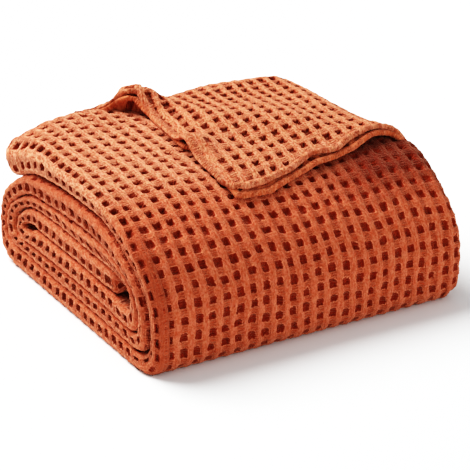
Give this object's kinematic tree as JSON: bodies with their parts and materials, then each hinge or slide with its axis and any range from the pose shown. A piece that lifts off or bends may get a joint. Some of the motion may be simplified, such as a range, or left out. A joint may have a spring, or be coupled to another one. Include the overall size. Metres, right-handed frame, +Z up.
{
  "type": "folded blanket",
  "caption": "Waffle weave cotton blanket folded lengthwise and wound flat, with a hemmed corner turned back over the top.",
  "frame": {"origin": "centre of the bounding box at the face it rests on", "axes": "+X along the rounded front from the open rolled end to the closed end, +Y to the rear, +Z up through the layers"},
  "size_m": [0.3143, 0.2861, 0.1558],
  "materials": {
    "blanket": "deep square waffle weave, matt terracotta cotton"
  },
  "bodies": {
    "root": {"blanket": "blanket"}
  },
  "joints": []
}
